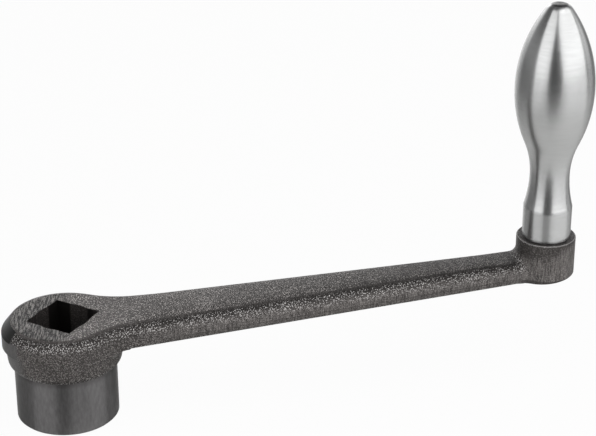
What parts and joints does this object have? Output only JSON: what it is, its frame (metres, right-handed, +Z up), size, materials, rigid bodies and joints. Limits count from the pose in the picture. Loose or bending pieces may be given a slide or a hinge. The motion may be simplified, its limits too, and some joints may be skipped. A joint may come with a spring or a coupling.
{
  "type": "crank handle",
  "caption": "Cast crank arm with a broached square socket in its hub, cranked upward to a boss that carries a fixed turned machine handle",
  "frame": {"origin": "on the hub's axis, at the hub's bottom face, where the square socket opens downward", "axes": "+Z up along the hub's axis, toward the handle's side; +X along the arm from the hub to the boss; +Y completes a right-handed frame"},
  "size_m": [0.1931, 0.0392, 0.1347],
  "materials": {
    "casting": "as cast and shot blasted, rough; turned satin below the hub's shoulder",
    "turned_steel": "fine turned, satin bright"
  },
  "bodies": {
    "root": {"crank_arm": "casting", "machine_handle": "turned_steel"}
  },
  "joints": []
}
